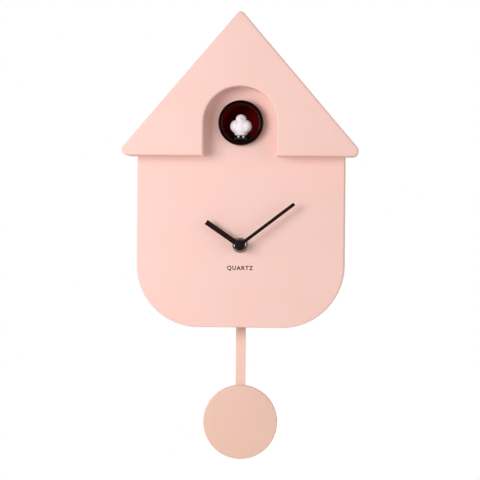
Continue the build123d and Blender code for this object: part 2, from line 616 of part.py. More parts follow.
MOVE_HALF = 30.0
MOVE_LOW, MOVE_HIGH = AXIS_Z - 31.5, AXIS_Z + 28.0
MOVE_FRONT, MOVE_JOIN, MOVE_BACK = -60.5, -51.0, -41.0
MOVE_WALL = 1.5
TRAY_LOW, TRAY_HIGH = AXIS_Z - 28.9, AXIS_Z - 13.4
AA_Z, AA_Y, AA_RADIUS = AXIS_Z - 21.4, -49.4, 7.2
BUSHING_END = -69.6
HUB_RADIUS, CAP_RADIUS = 6.9, 4.2  # domed nut under the hands, and the cap over them

CENTRE = (0, AXIS_Z)
MOTION_MODULE = 0.58
CANNON_TEETH, MOTION_TEETH = 12, 36
MOTION_PINION_TEETH, HOUR_TEETH = 10, 40
HOUR_MODULE = MOTION_MODULE * (CANNON_TEETH + MOTION_TEETH) / (MOTION_PINION_TEETH + HOUR_TEETH)
MOTION_ANGLE = 150
MOTION_AT = around(CENTRE, MOTION_MODULE * (CANNON_TEETH + MOTION_TEETH) / 2, MOTION_ANGLE)
MINUTE_MODULE, SECOND_MODULE = 0.32, 0.28
MINUTE_TEETH, THIRD_PINION_TEETH = 75, 10
THIRD_TEETH, SECOND_PINION_TEETH = 80, 10
THIRD_ANGLE, SECOND_ANGLE = 30, 100
THIRD_AT = around(CENTRE, MINUTE_MODULE * (MINUTE_TEETH + THIRD_PINION_TEETH) / 2, THIRD_ANGLE)
SECOND_AT = around(THIRD_AT, SECOND_MODULE * (THIRD_TEETH + SECOND_PINION_TEETH) / 2, SECOND_ANGLE)
ROTOR_AT = around(SECOND_AT, 7.4, 180)
PIVOT_RADIUS = 0.5
COIL_AT = (0, AXIS_Z - 7.5)
PIVOT_FRONT, PIVOT_BACK = MOVE_FRONT + 0.6, MOVE_BACK - 0.6

with BuildPart() as movement_front_case:
    block(facing(MOVE_JOIN), (-MOVE_HALF, MOVE_LOW), (MOVE_HALF, MOVE_HIGH), MOVE_JOIN - MOVE_FRONT)
    fillet(movement_front_case.edges().filter_by(Axis.Y), 3.0)
    low = (-MOVE_HALF + MOVE_WALL, MOVE_LOW + MOVE_WALL)
    high = (MOVE_HALF - MOVE_WALL, MOVE_HIGH - MOVE_WALL)
    block(facing(MOVE_JOIN), low, high, MOVE_JOIN - MOVE_FRONT - MOVE_WALL, Mode.SUBTRACT)
    rounds(facing(MOVE_FRONT), BUSHING_RADIUS, MOVE_FRONT - BUSHING_END, [CENTRE])
    rounds(facing(-58), PIPE_RADIUS + RUNNING, 12, [CENTRE], Mode.SUBTRACT)
    pivot_depth = -58 - PIVOT_FRONT + 0.1
    rounds(facing(-58), PIVOT_RADIUS + RUNNING, pivot_depth, [THIRD_AT, SECOND_AT], Mode.SUBTRACT)
    rounds(facing(-58), 1.0 + RUNNING, pivot_depth, [MOTION_AT], Mode.SUBTRACT)
save(movement_front_case, "movement_front_case")

with BuildPart() as movement_rear_case:
    block(facing(MOVE_BACK), (-MOVE_HALF, MOVE_LOW), (MOVE_HALF, MOVE_HIGH), MOVE_BACK - MOVE_JOIN)
    fillet(movement_rear_case.edges().filter_by(Axis.Y), 3.0)
    block(facing(MOVE_BACK - MOVE_WALL), low, high, 12, Mode.SUBTRACT)
    # open tray for the cell
    tray_half = MOVE_HALF - 1.6
    block(facing(MOVE_BACK), (-tray_half, TRAY_LOW - 0.9), (tray_half, TRAY_HIGH + 0.9), MOVE_BACK + 58.2)
    tray_half -= 1.0
    block(facing(MOVE_BACK), (-tray_half, TRAY_LOW), (tray_half, TRAY_HIGH), MOVE_BACK + 57.2, Mode.SUBTRACT)
    rounds(facing(MOVE_BACK), PIVOT_RADIUS + RUNNING, 3, [THIRD_AT, SECOND_AT, CENTRE], Mode.SUBTRACT)
    rounds(facing(MOVE_BACK), 1.0 + RUNNING, 3, [MOTION_AT], Mode.SUBTRACT)
    # stud that the pendulum hangs on
    rounds(facing(-37.4), 1.4, 4.6, [(0, PIVOT_Z)])
save(movement_rear_case, "movement_rear_case")

with BuildPart() as rubber_washer:
    washer_bore = BUSHING_RADIUS + 0.2
    turned([(washer_bore, MOVE_FRONT), (9, MOVE_FRONT), (9, FACE_BACK), (washer_bore, FACE_BACK)], 0, AXIS_Z)
save(rubber_washer, "rubber_washer")

with BuildPart() as metal_washer:
    turned([(washer_bore, FACE), (6.2, FACE), (6.2, FACE - 0.5), (washer_bore, FACE - 0.5)], 0, AXIS_Z)
save(metal_washer, "metal_washer")

with BuildPart() as mounting_nut:
    nut_back, nut_edge, nut_front = FACE - 0.5, FACE - 1.4, FACE - 4.2
    nut_bore = BUSHING_RADIUS + PRESS_GAP
    with BuildSketch(Plane(origin=(0, 0, AXIS_Z), x_dir=(1, 0, 0), z_dir=(0, 0, 1))) as nut_section:
        with BuildLine():
            Polyline((HUB_RADIUS, nut_edge), (HUB_RADIUS, nut_back), (nut_bore, nut_back), (nut_bore, nut_front))
            Line((nut_bore, nut_front), (4.8, nut_front))
            ThreePointArc((4.8, nut_front), (6.35, nut_front + 1.0), (HUB_RADIUS, nut_edge))
        make_face()
    revolve(nut_section.sketch, axis=Axis((0, 0, AXIS_Z), (0, 1, 0)))
save(mounting_nut, "mounting_nut")

with BuildPart() as circuit_board:
    block(facing(-45.5), (-26, AXIS_Z + 12), (-6, AXIS_Z + 25), 1)
    rounds(facing(-46.5), 2.5, 0.8, [(-20, AXIS_Z + 18)])
save(circuit_board, "circuit_board")

with BuildPart() as rotor:
    rounds(facing(-44), 2.0, 2.4, [ROTOR_AT])
    rounds(facing(-43), 0.4, 8, [ROTOR_AT])
save(rotor, "rotor")

with BuildPart() as stator:
    block(facing(-44.7), (ROTOR_AT[0] - 4, ROTOR_AT[1] - 4), (ROTOR_AT[0] + 4, ROTOR_AT[1] + 5), 1)
    block(facing(-44.7), (ROTOR_AT[0] - 4, ROTOR_AT[1] + 3), (ROTOR_AT[0] + 22, ROTOR_AT[1] + 5), 1)
    rounds(facing(-44), 2.4, 3, [ROTOR_AT], Mode.SUBTRACT)
save(stator, "stator")

with BuildPart() as drive_coil:
    rounds(sideways(17), 3.2, 10, [(-49.7, AXIS_Z + 22.2)])
    rounds(sideways(16.4), 3.6, 0.6, [(-49.7, AXIS_Z + 22.2)])
    rounds(sideways(27), 3.6, 0.6, [(-49.7, AXIS_Z + 22.2)])
save(drive_coil, "drive_coil")

with BuildPart() as pendulum_coil:
    turned([(1.2, -42.6), (4.6, -42.6), (4.6, -46), (1.2, -46)], *COIL_AT)
save(pendulum_coil, "pendulum_coil")

with BuildPart() as aa_cell:
    cell(AA_Z, AA_Y, AA_RADIUS, -24.5, 24.5, 2.7, 26.0)
save(aa_cell, "aa_cell")

with BuildPart() as aa_contacts:
    block(sideways(-27.4), (AA_Y - 4, AA_Z - 4), (AA_Y + 4, AA_Z + 4), 0.4)
    block(sideways(26.4), (AA_Y - 4, AA_Z - 4), (AA_Y + 4, AA_Z + 4), 1.0)
    rounds(sideways(-27.0), 3.4, 2.5, [(AA_Y, AA_Z)])
    rounds(sideways(-27.0), 2.7, 2.5, [(AA_Y, AA_Z)], Mode.SUBTRACT)
save(aa_contacts, "aa_contacts")

# ---- hands and wheels ----

HOUR_HAND_Y, MINUTE_HAND_Y = -70.8, -75.0  # back faces of the hands
HAND_THICK = 0.8
HOUR_LENGTH, HOUR_WIDTH, HOUR_TURN = 36.9, 4.7, 304.4  # degrees clockwise from twelve
MINUTE_LENGTH, MINUTE_WIDTH, MINUTE_TURN = 62.0, 3.0, 52.5
CAP_END = -79.4


def baton(y, length, width, clockwise):
    """Adds a straight hand from the axis outwards, turned clockwise from twelve."""
    with BuildSketch(facing(y, 0, AXIS_Z)) as blade:
        with Locations(Location((0, 0), -clockwise)):
            with Locations((0, length / 2)):
                Rectangle(width, length)
    extrude(blade.sketch, amount=HAND_THICK, dir=FORWARD)


with BuildPart() as hour_hand:
    baton(HOUR_HAND_Y, HOUR_LENGTH, HOUR_WIDTH, HOUR_TURN)
    rounds(facing(HOUR_HAND_Y + 0.6), CAP_RADIUS, HAND_THICK + 1.0, [CENTRE])
    rounds(facing(-69), PIPE_RADIUS + PRESS_GAP, 4, [CENTRE], Mode.SUBTRACT)
save(hour_hand, "hour_hand")

with BuildPart() as minute_hand:
    baton(MINUTE_HAND_Y, MINUTE_LENGTH, MINUTE_WIDTH, MINUTE_TURN)
    rounds(facing(MINUTE_HAND_Y + 0.4), CAP_RADIUS, HAND_THICK + 0.8, [CENTRE])
    rounds(facing(MINUTE_HAND_Y + 1), ARBOR_RADIUS + PRESS_GAP, 3, [CENTRE], Mode.SUBTRACT)
save(minute_hand, "minute_hand")

with BuildPart() as hand_cap:
    cap_back = MINUTE_HAND_Y - HAND_THICK - 0.4
    cap = [(ARBOR_RADIUS + PRESS_GAP, cap_back), (CAP_RADIUS, cap_back), (CAP_RADIUS, CAP_END + 1.0)]
    cap += [(CAP_RADIUS - 0.3, CAP_END + 0.3), (CAP_RADIUS - 1.0, CAP_END), (0, CAP_END)]
    cap += [(0, -78.2), (ARBOR_RADIUS + PRESS_GAP, -78.2)]
    turned(cap, 0, AXIS_Z)
save(hand_cap, "hand_cap")

with BuildPart() as minute_arbor:
    rounds(facing(-43), ARBOR_RADIUS, 35.1, [CENTRE])
    rounds(facing(PIVOT_BACK), PIVOT_RADIUS, 3, [CENTRE])
save(minute_arbor, "minute_arbor")


def pressed_gear(plane, module, teeth, phase, width, centre, bore):
    """Adds a gear with a bore for the arbor that it is pressed on."""
    gear(plane, module, teeth, phase, width, centre)
    rounds(plane, bore + PRESS_GAP, width, [centre], Mode.SUBTRACT)


with BuildPart() as cannon_pinion:
    pressed_gear(facing(-55.2), MOTION_MODULE, CANNON_TEETH, MOTION_ANGLE, 1.6, CENTRE, ARBOR_RADIUS)
save(cannon_pinion, "cannon_pinion")

with BuildPart() as minute_wheel:
    pressed_gear(facing(-53.6), MINUTE_MODULE, MINUTE_TEETH, THIRD_ANGLE, 0.8, CENTRE, ARBOR_RADIUS)
save(minute_wheel, "minute_wheel")

with BuildPart() as motion_wheel:
    facing_back = MOTION_ANGLE + 180
    gear(facing(-55.5), MOTION_MODULE, MOTION_TEETH, facing_back + 180 / MOTION_TEETH, 1.0, MOTION_AT)
    gear(facing(-56.5), HOUR_MODULE, MOTION_PINION_TEETH, facing_back, 2.2, MOTION_AT)
    rounds(facing(-39), 1.0, -39 - PIVOT_FRONT, [MOTION_AT])
save(motion_wheel, "motion_wheel")

with BuildPart() as setting_knob:
    rounds(facing(-36), 5.0, 4.4, [MOTION_AT])
    fillet(setting_knob.faces().sort_by(Axis.Y)[-1].edges(), 0.5)
    grips = [around(MOTION_AT, 5.4, 20 * grip) for grip in range(18)]
    rounds(facing(-35), 0.6, 6, grips, Mode.SUBTRACT)
    rounds(facing(-38.9), 1.0 + PRESS_GAP, 3, [MOTION_AT], Mode.SUBTRACT)
save(setting_knob, "setting_knob")

with BuildPart() as hour_wheel:
    gear(facing(-57.3), HOUR_MODULE, HOUR_TEETH, MOTION_ANGLE + 180 / HOUR_TEETH, 1.2, CENTRE)
    rounds(facing(-57.3), PIPE_RADIUS, 14.5, [CENTRE])
    rounds(facing(-57.2), ARBOR_RADIUS + RUNNING, 15, [CENTRE], Mode.SUBTRACT)
save(hour_wheel, "hour_wheel")

with BuildPart() as third_wheel:
    third_phase = THIRD_ANGLE + 180 + 180 / THIRD_PINION_TEETH
    gear(facing(-53.0), MINUTE_MODULE, THIRD_PINION_TEETH, third_phase, 2.0, THIRD_AT)
    gear(facing(-51.8), SECOND_MODULE, THIRD_TEETH, SECOND_ANGLE, 0.8, THIRD_AT)
    rounds(facing(PIVOT_BACK), PIVOT_RADIUS, PIVOT_BACK - PIVOT_FRONT, [THIRD_AT])
save(third_wheel, "third_wheel")

with BuildPart() as seconds_wheel:
    seconds_phase = SECOND_ANGLE + 180 + 180 / SECOND_PINION_TEETH
    gear(facing(-50.6), SECOND_MODULE, SECOND_PINION_TEETH, seconds_phase, 2.4, SECOND_AT)
    gear(facing(-49.8), 0.3, 36, 0, 0.8, SECOND_AT)
    rounds(facing(PIVOT_BACK), PIVOT_RADIUS, PIVOT_BACK - PIVOT_FRONT, [SECOND_AT])
save(seconds_wheel, "seconds_wheel")

# ---- pendulum ----

ARM_BACK, ARM_THICK = -38.8, 1.7
ROD_THICK = 1.5
ROD_TOP = AXIS_Z - 24.0
HOOK_Z = AXIS_Z - 29.5
BOB_FRONT, BOB_BACK = -43.9, -36.6
DOME_RADIUS = 310.0  # of the bob's slightly convex front

with BuildPart() as pendulum_arm:
    block(facing(ARM_BACK), (-2.5, AXIS_Z - 33), (2.5, PIVOT_Z), ARM_THICK)
    rounds(facing(ARM_BACK), 4.0, ARM_THICK, [(0, PIVOT_Z)])
    rounds(facing(ARM_BACK), 5.0, ARM_THICK, [COIL_AT])
    rounds(facing(-38), 1.4 + RUNNING, 4, [(0, PIVOT_Z)], Mode.SUBTRACT)
    rounds(facing(ARM_BACK), 3.0 + PRESS_GAP, ARM_THICK, [COIL_AT], Mode.SUBTRACT)
    rounds(facing(ARM_BACK + 2.2), 1.6, 2.7, [(0, HOOK_Z)])
    rounds(facing(ARM_BACK + 2.8), 2.4, 0.8, [(0, HOOK_Z)])
save(pendulum_arm, "pendulum_arm")

with BuildPart() as arm_magnet:
    rounds(facing(ARM_BACK), 3.0, ARM_THICK, [COIL_AT])
save(arm_magnet, "arm_magnet")

with BuildPart() as pendulum_rod:
    block(facing(ARM_BACK + ROD_THICK), (-ROD_WIDTH / 2, BOB_Z - 6), (ROD_WIDTH / 2, ROD_TOP), ROD_THICK)
    fillet(pendulum_rod.edges().filter_by(Axis.Y).group_by(Axis.Z)[-1], 3.0)
    rounds(facing(ARM_BACK + ROD_THICK + 1), 1.7, 4, [(0, HOOK_Z)], Mode.SUBTRACT)
save(pendulum_rod, "pendulum_rod")

with BuildPart() as pendulum_bob:
    rounds(facing(BOB_BACK), BOB_RADIUS, BOB_BACK - BOB_FRONT, [(0, BOB_Z)])
    with Locations((0, BOB_FRONT + DOME_RADIUS, BOB_Z)):
        Sphere(DOME_RADIUS, mode=Mode.INTERSECT)
    fillet(pendulum_bob.edges().group_by(Axis.Y)[0], 0.8)
    chamfer(pendulum_bob.edges().group_by(Axis.Y)[-1], 0.6)
    slot_half = ROD_WIDTH / 2 + PRESS_GAP
    slot_depth = BOB_BACK + 1 - ARM_BACK
    block(facing(BOB_BACK + 1), (-slot_half, BOB_Z - 6.1), (slot_half, BOB_Z + 40), slot_depth, Mode.SUBTRACT)
save(pendulum_bob, "pendulum_bob")

os.makedirs("parts", exist_ok=True)
for name, piece in pieces.items():
    export_step(piece.part, f"parts/{name}.step")
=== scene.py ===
import json
from math import cos, pi, radians, sin

import bpy
from mathutils import Matrix, Vector


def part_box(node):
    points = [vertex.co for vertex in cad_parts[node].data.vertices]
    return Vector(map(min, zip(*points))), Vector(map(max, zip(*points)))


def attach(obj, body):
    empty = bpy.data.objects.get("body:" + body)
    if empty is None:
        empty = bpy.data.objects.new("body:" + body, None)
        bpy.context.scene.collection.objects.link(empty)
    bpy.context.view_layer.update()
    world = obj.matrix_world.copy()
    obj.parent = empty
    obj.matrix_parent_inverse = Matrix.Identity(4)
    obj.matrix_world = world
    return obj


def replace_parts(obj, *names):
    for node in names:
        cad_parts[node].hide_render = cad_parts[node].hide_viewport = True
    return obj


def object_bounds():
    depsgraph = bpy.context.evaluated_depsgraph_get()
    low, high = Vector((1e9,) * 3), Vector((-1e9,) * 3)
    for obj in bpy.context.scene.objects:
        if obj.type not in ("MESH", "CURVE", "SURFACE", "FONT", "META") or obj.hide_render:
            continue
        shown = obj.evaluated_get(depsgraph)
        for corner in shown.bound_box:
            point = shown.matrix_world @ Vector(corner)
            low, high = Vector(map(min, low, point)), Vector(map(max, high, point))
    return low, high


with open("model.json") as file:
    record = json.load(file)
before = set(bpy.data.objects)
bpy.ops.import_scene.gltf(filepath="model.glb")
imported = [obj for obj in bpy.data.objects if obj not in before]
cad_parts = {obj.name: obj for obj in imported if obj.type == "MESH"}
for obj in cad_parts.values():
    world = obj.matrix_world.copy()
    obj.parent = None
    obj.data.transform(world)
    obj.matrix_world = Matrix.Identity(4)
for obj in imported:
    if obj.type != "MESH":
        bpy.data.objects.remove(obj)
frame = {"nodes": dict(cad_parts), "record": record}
cad_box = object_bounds()

MM = 0.001

# ---- places read from the frame ----

hour_low, hour_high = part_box("hour_wheel")
AXIS = Vector(((hour_low[0] + hour_high[0]) / 2, 0, (hour_low[2] + hour_high[2]) / 2))
FACE_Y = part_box("dial_shell")[0][1]
ring_low, ring_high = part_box("cuckoo_ring")
RING = Vector(((ring_low[0] + ring_high[0]) / 2, ring_low[1], (ring_low[2] + ring_high[2]) / 2))


def clear_selection():
    """Leaves every object deselected, so that an operator acts on the new piece only."""
    bpy.ops.object.select_all(action="DESELECT")


# ---- camera, lights and floor ----

CAMERA_DISTANCE = 1.5
VIEW_HEIGHT = 0.4352  # of the object plane that the frame takes in
CAMERA_TURN = radians(3.4)
CAMERA_LIFT = radians(0.8)
CAMERA_ROLL = radians(0.48)
SENSOR = 36.0
AIM_LEFT = 0.1 * MM  # from the hands' axis to the middle of the view
AIM_UP = 4.7 * MM

BACKDROP = 1.0  # strength of the white that the camera sees
BACK_LIGHT = 0.85
ALL_ROUND_LIGHT = 0.42
GAP_LIGHT = 0.03
GAP_START = 0.95  # from 0 straight behind the clock to 1 straight in front of it
GAP_FULL = 0.985

# name, side, lift, distance, width, height, power and colour of each soft box
SOFT_BOXES = (
    ("key", radians(-37), radians(2.5), 0.92, 0.56, 0.5, 6.4, (1.0, 0.985, 0.985)),
    ("fill", radians(50), radians(3), 1.1, 0.7, 0.6, 2.6, (1.0, 0.985, 0.99)),
)

FLOOR_RADIUS = 0.5
FLOOR_THICKNESS = 0.01
FLOOR_DROP = 0.105  # from the bob's lowest point to the middle of the floor's thickness


def direction(side, lift):
    """Unit vector from the clock's front towards a place to its side and above."""
    return Vector((sin(side) * cos(lift), -cos(side) * cos(lift), sin(lift)))


def looking_from(aim, away, distance):
    """Placement at a distance from an aim, facing it."""
    return Matrix.Translation(aim + away * distance) @ away.to_track_quat("Z", "Y").to_matrix().to_4x4()


def add_camera():
    """Long lens a little to the right of the clock and a little above its middle."""
    aim = Vector((AXIS.x - AIM_LEFT, FACE_Y, AXIS.z + AIM_UP))
    away = direction(CAMERA_TURN, CAMERA_LIFT)
    data = bpy.data.cameras.new("camera")
    data.sensor_width = SENSOR
    data.lens = SENSOR * CAMERA_DISTANCE / VIEW_HEIGHT
    camera = bpy.data.objects.new("camera", data)
    bpy.context.scene.collection.objects.link(camera)
    roll = Matrix.Rotation(CAMERA_ROLL, 4, "Z")
    camera.matrix_world = looking_from(aim, away, CAMERA_DISTANCE) @ roll
    bpy.context.scene.camera = camera


def add_soft_box(name, side, lift, distance, width, height, power, colour):
    """Soft box at an angle to the side and above, aimed at the cuckoo's arch."""
    target = Vector((0, FACE_Y, RING.z))
    data = bpy.data.lights.new(name, "AREA")
    data.shape = "RECTANGLE"
    data.size = width
    data.size_y = height
    data.energy = power
    data.color = colour
    lamp = bpy.data.objects.new(name, data)
    bpy.context.scene.collection.objects.link(lamp)
    lamp.matrix_world = looking_from(target, direction(side, lift), distance)


def grey(level):
    """Opaque grey of the given linear level."""
    return (level, level, level, 1)


def add_world():
    """Plain white backdrop, a warm light from all round, brighter behind, and a dark gap in front."""
    world = bpy.data.worlds.new("studio")
    bpy.context.scene.world = world
    world.use_nodes = True
    tree = world.node_tree
    tree.nodes.clear()
    seen = add_node(tree, "ShaderNodeLightPath")
    white = add_node(tree, "ShaderNodeBackground", {"Color": (1, 1, 1, 1), "Strength": BACKDROP})
    place = add_node(tree, "ShaderNodeTexCoord")
    forwards = {0: place.outputs["Generated"], 1: (0, -1, 0)}
    ahead = add_node(tree, "ShaderNodeVectorMath", forwards, operation="DOT_PRODUCT")
    turned = add_node(tree, "ShaderNodeMapRange", {0: ahead.outputs["Value"], 1: -1, 2: 1})
    levels = (
        (0, grey(BACK_LIGHT)),
        (0.5, grey(ALL_ROUND_LIGHT)),
        (GAP_START, grey(ALL_ROUND_LIGHT)),
        (GAP_FULL, grey(GAP_LIGHT)),
    )
    level = add_node(tree, "ShaderNodeValToRGB", {0: turned.outputs[0]}, levels)
    warm = {"Color": (1, 0.965, 0.87, 1), "Strength": level.outputs[0]}
    soft = add_node(tree, "ShaderNodeBackground", warm)
    choice = {0: seen.outputs["Is Camera Ray"], 1: soft.outputs[0], 2: white.outputs[0]}
    mixed = add_node(tree, "ShaderNodeMixShader", choice)
    add_node(tree, "ShaderNodeOutputWorld", {"Surface": mixed.outputs[0]})


def add_floor():
    """Pale round table some way under the pendulum."""
    clear_selection()
    middle = (0, -0.05, cad_box[0][2] - FLOOR_DROP)
    bpy.ops.mesh.primitive_cylinder_add(
        vertices=96, radius=FLOOR_RADIUS, depth=FLOOR_THICKNESS, location=middle
    )
    floor = bpy.context.object
    floor.name = "floor"
    bpy.ops.object.transform_apply(location=True, rotation=True, scale=True)
    floor.data.materials.append(matt_card())


# ---- materials ----


def linear(code):
    """Colour of a sRGB hex code as linear RGBA."""
    parts = [int(code[i:i + 2], 16) / 255 for i in (1, 3, 5)]
    return tuple(p / 12.92 if p <= 0.04045 else ((p + 0.055) / 1.055) ** 2.4 for p in parts) + (1.0,)


def add_node(tree, kind, inputs=None, stops=(), **settings):
    """Adds a node with its settings, with values or linked sockets at its inputs, and with a ramp's stops."""
    new = tree.nodes.new(kind)
    for name, value in settings.items():
        setattr(new, name, value)
    for name, value in (inputs or {}).items():
        if isinstance(value, bpy.types.NodeSocket):
            tree.links.new(value, new.inputs[name])
        else:
            new.inputs[name].default_value = value
    if stops:
        marks = new.color_ramp.elements
        marks[0].position, marks[0].color = stops[0]
        marks[1].position, marks[1].color = stops[-1]
        for position, colour in stops[1:-1]:
            marks.new(position).color = colour
    return new


def surface(name, **values):
    """New material with its node tree, its shader and its Object coordinates."""
    made = bpy.data.materials.new(name)
    made.use_nodes = True
    tree = made.node_tree
    tree.nodes.clear()
    settings = {key.replace("_", " "): value for key, value in values.items()}
    shader = add_node(tree, "ShaderNodeBsdfPrincipled", settings)
    add_node(tree, "ShaderNodeOutputMaterial", {"Surface": shader.outputs[0]})
    place = add_node(tree, "ShaderNodeTexCoord").outputs["Object"]
    return made, tree, shader, place


FLOW_TONE = 45.0  # millimetres across one patch of the drifting tone


def fine_grained(name, low, high, rough, grain_mm=0.5, depth_mm=0.02, sheen=0.5):
    """Surface with a fine raised grain, a faint tone that drifts over some centimetres, and a sheen."""
    made, tree, shader, place = surface(name, IOR=1.5, Specular_IOR_Level=sheen)
    patches = {"Vector": place, "Scale": 1 / (FLOW_TONE * MM), "Detail": 2.0}
    flow = add_node(tree, "ShaderNodeTexNoise", patches).outputs["Fac"]
    tone = add_node(tree, "ShaderNodeValToRGB", {"Fac": flow}, ((0.35, linear(low)), (0.65, linear(high))))
    grains = {"Vector": place, "Scale": 1 / (grain_mm * MM), "Detail": 2.0}
    grain = add_node(tree, "ShaderNodeTexNoise", grains).outputs["Fac"]
    span = {"Value": grain, "From Min": 0.3, "From Max": 0.7, "To Min": rough - 0.05, "To Max": rough + 0.05}
    spread = add_node(tree, "ShaderNodeMapRange", span)
    raised = add_node(tree, "ShaderNodeBump", {"Height": grain, "Distance": depth_mm * MM, "Strength": 0.5})
    tree.links.new(tone.outputs["Color"], shader.inputs["Base Color"])
    tree.links.new(spread.outputs["Result"], shader.inputs["Roughness"])
    tree.links.new(raised.outputs["Normal"], shader.inputs["Normal"])
    return made


def clouded(name, low, high, smooth, rough, patch_mm, **values):
    """Level surface whose tone and roughness drift together over small patches."""
    made, tree, shader, place = surface(name, **values)
    patches = {"Vector": place, "Scale": 1 / (patch_mm * MM), "Detail": 2.0}
    patch = add_node(tree, "ShaderNodeTexNoise", patches).outputs["Fac"]
    tone = add_node(tree, "ShaderNodeValToRGB", {"Fac": patch}, ((0.35, linear(low)), (0.65, linear(high))))
    span = {"Value": patch, "From Min": 0.3, "From Max": 0.7, "To Min": smooth, "To Max": rough}
    spread = add_node(tree, "ShaderNodeMapRange", span)
    tree.links.new(tone.outputs["Color"], shader.inputs["Base Color"])
    tree.links.new(spread.outputs["Result"], shader.inputs["Roughness"])
    return made


def matt_card():
    """Matt white card for the floor."""
    return clouded("matt_white_card", "#f1f0ee", "#f6f5f3", 0.8, 0.9, 3.0, IOR=1.4)


def blush_abs():
    """Satin ABS in blush pink, moulded with a fine spark-eroded grain: soft, nearly matt highlights."""
    return fine_grained("blush_abs_moulded", "#f0c9c2", "#efc7bf", 0.55)


def bob_abs_browner_and_painted_shade():
    """The bob's own batch of pink ABS, a little browner than the case; its colour is also darker than the
    case's by painted shade, which stands for the bob hanging lower and farther from the lights.
    """
    return fine_grained("bob_pink_abs_browner_and_painted_shade", "#e6bfb1", "#e4bdae", 0.55)


def powder_coat():
    """Pink powder coat on the steel rod: slight orange peel."""
    return fine_grained("pink_powder_coat", "#eec8bb", "#ecc6b8", 0.5, 1.2, 0.03)


def black_lacquer():
    """Matt black lacquer on the stamped hands: near-black brown with hardly any sheen."""
    return fine_grained("black_lacquer_sprayed", "#180604", "#1d0907", 0.5, 0.3, 0.01, sheen=0.12)


def gloss_black():
    """Polished black ABS of the ring: dark, with thin sharp highlights on its rounded lip."""
    return fine_grained("black_abs_polished", "#110302", "#150504", 0.08, 0.8, 0.001, sheen=0.3)


def black_chrome():
    """Black chrome on the domed nut: dark metal that mirrors the lights."""
    return clouded("black_chrome_plated", "#7c7976", "#8a8682", 0.08, 0.14, 0.8, Metallic=1.0)


def maroon_abs():
    """Matt dark red ABS inside the tunnel."""
    return fine_grained("maroon_abs_moulded", "#b00c12", "#bb0f16", 0.7, 0.5, 0.02, sheen=0.05)


def white_abs():
    """Satin white ABS of the bird."""
    return fine_grained("white_abs_moulded", "#efe7ee", "#ebe3ea", 0.45, 0.4, 0.015)


def inner_abs():
    """Black ABS of the works: matt, lightly grained."""
    return fine_grained("black_abs_grained", "#0c0a0a", "#110f0e", 0.6, 0.5, 0.03, sheen=0.2)


def control_abs():
    """Dark grey ABS of the knobs."""
    return fine_grained("grey_abs_moulded", "#2a2a2b", "#303031", 0.45, 0.4, 0.02)


def natural_acetal():
    """Undyed acetal of the wheels: milky white, slightly waxy."""
    return fine_grained("acetal_moulded", "#e9e6dd", "#e2dfd6", 0.35, 0.4, 0.01)


def zinc_steel():
    """Zinc-plated steel: pale grey metal with a faintly mottled tone."""
    return clouded("zinc_plated_steel", "#b9bbbd", "#c7c8c9", 0.28, 0.4, 1.5, Metallic=1.0)


def turned_brass():
    """Turned brass: yellow metal, slightly hazy."""
    return clouded("brass_turned", "#c9a255", "#d6b068", 0.22, 0.34, 0.6, Metallic=1.0)


def sintered_magnet():
    """Sintered ferrite: charcoal grey, fine grain."""
    return fine_grained("ferrite_sintered", "#2b2c2e", "#343538", 0.6, 0.2, 0.02)


def copper_winding():
    """Enamelled copper wire, wound: ridges of copper red, drawn coarser than the wire so that they show."""
    made, tree, shader, place = surface("copper_wire_wound", Metallic=1.0)
    bands = {"Vector": place, "Scale": 1 / (0.9 * MM), "Distortion": 0.4}
    turns = add_node(tree, "ShaderNodeTexWave", bands).outputs["Fac"]
    reds = ((0.35, linear("#7a3516")), (0.65, linear("#c26a35")))
    tone = add_node(tree, "ShaderNodeValToRGB", {"Fac": turns}, reds)
    span = {"Value": turns, "From Min": 0.3, "From Max": 0.7, "To Min": 0.2, "To Max": 0.35}
    spread = add_node(tree, "ShaderNodeMapRange", span)
    ridges = add_node(tree, "ShaderNodeBump", {"Height": turns, "Distance": 0.06 * MM, "Strength": 0.5})
    tree.links.new(tone.outputs["Color"], shader.inputs["Base Color"])
    tree.links.new(spread.outputs["Result"], shader.inputs["Roughness"])
    tree.links.new(ridges.outputs["Normal"], shader.inputs["Normal"])
    return made


def solder_mask():
    """Green solder mask over a glass-epoxy board: glossy, faintly uneven."""
    return fine_grained("solder_mask_green", "#1c4a2a", "#215432", 0.25, 0.7, 0.01)


def epoxy_black():
    """Black epoxy blob over the sound chip: smooth, glossy."""
    return fine_grained("epoxy_potted", "#0c0c0c", "#121212", 0.12, 1.0, 0.02)


def epoxy_clear():
    """Water-clear epoxy of the light sensor."""
    return clouded(
        "epoxy_clear_cast", "#e4e6e2", "#eef0ec", 0.04, 0.1, 1.0, IOR=1.55, Transmission_Weight=0.8
    )


def pressed_paper():
    """Pressed paper of the speaker cone: fibrous, dark grey."""
    return fine_grained("paper_pressed", "#1d1d1e", "#2a2a2b", 0.85, 0.4, 0.08)


def shrink_sleeve():
    """Printed shrink sleeve of the cells: plain slate blue, glossy."""
    return fine_grained("cell_shrink_sleeve", "#37424d", "#3c4853", 0.22, 2.0, 0.01)


def black_rubber():
    """Moulded rubber: matt, soft black."""
    return fine_grained("rubber_moulded", "#161616", "#1c1c1c", 0.8, 0.3, 0.02)


def printed_ink():
    """Pad-printed ink: matt near-black brown."""
    return fine_grained("ink_pad_printed", "#2a1512", "#301a16", 0.6, 0.3, 0.003, sheen=0.2)


FINISHES = {
    "shell": blush_abs,
    "bob": bob_abs_browner_and_painted_shade,
    "rod": powder_coat,
    "hands": black_lacquer,
    "ring": gloss_black,
    "nut": black_chrome,
    "tunnel": maroon_abs,
    "bird_white": white_abs,
    "inner_black": inner_abs,
    "controls": control_abs,
    "steel": zinc_steel,
    "magnet": sintered_magnet,
    "brass": turned_brass,
    "coil": copper_winding,
    "gears": natural_acetal,
    "board": solder_mask,
    "chip": epoxy_black,
    "sensor": epoxy_clear,
    "cone": pressed_paper,
    "cell": shrink_sleeve,
    "rubber": black_rubber,
}


